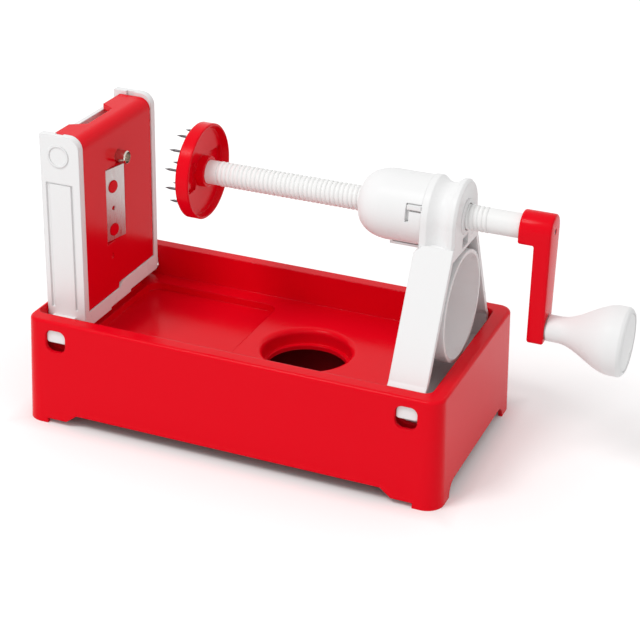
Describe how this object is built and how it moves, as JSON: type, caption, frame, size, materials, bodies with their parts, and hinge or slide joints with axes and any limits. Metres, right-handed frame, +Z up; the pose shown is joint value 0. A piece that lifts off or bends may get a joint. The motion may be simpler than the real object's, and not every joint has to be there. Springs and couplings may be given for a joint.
{
  "type": "spiralizer",
  "caption": "Hand cranked spiralizer with a boxed tray base, a lift-out blade cassette in a tower, and a spiked disc on a lead screw turned by a crank with a spinning knob",
  "frame": {"origin": "on the table under the middle of the part's overall box, in its plane of symmetry", "axes": "+X toward the crank along the lead screw, +Y to the back, +Z up from the table"},
  "size_m": [0.3542, 0.145, 0.1824],
  "materials": {
    "red_plastic": "moulded gloss",
    "white_plastic": "moulded gloss",
    "blade_steel": "ground stainless",
    "spike_steel": "drawn wire, ground points",
    "plain_steel": "plain turned"
  },
  "bodies": {
    "base": {"base_tray": "red_plastic", "blade_tower": "white_plastic", "post": "white_plastic", "post_bush": "white_plastic", "nut_barrel": "white_plastic", "drive_nut": "white_plastic"},
    "cassette": {"blade_cassette": "red_plastic", "slicing_blade": "blade_steel", "coring_tube": "blade_steel"},
    "feed_core": {"tie_rod": "plain_steel"},
    "crank": {"lead_screw": "white_plastic", "spike_disc": "red_plastic", "disc_spikes": "spike_steel", "disc_nut": "plain_steel", "crank_arm": "red_plastic", "crank_screw": "plain_steel", "knob_axle": "plain_steel", "axle_washer": "plain_steel"},
    "knob": {"knob": "white_plastic", "knob_cap": "white_plastic"}
  },
  "joints": [
    {"name": "screw_feed", "type": "slide", "parent": "base", "child": "feed_core", "axis": [1, 0, 0], "range_m": [-0.0281, 0.0925]},
    {"name": "crank_turn", "type": "hinge", "parent": "feed_core", "child": "crank", "pos_m": [0.1, 0, 0.1534], "axis": [1, 0, 0], "range_deg": [-3600, 11880]},
    {"name": "knob_spin", "type": "hinge", "parent": "crank", "child": "knob", "pos_m": [0.15, 0, 0.0939], "axis": [1, 0, 0], "continuous": true},
    {"name": "blade_lift", "type": "slide", "parent": "base", "child": "cassette", "axis": [0, 0, 1], "range_m": [0, 0.114]}
  ],
  "couplings": [
    {"joint": "screw_feed", "follows": "crank_turn", "m_per_rad": 0.00044563}
  ]
}
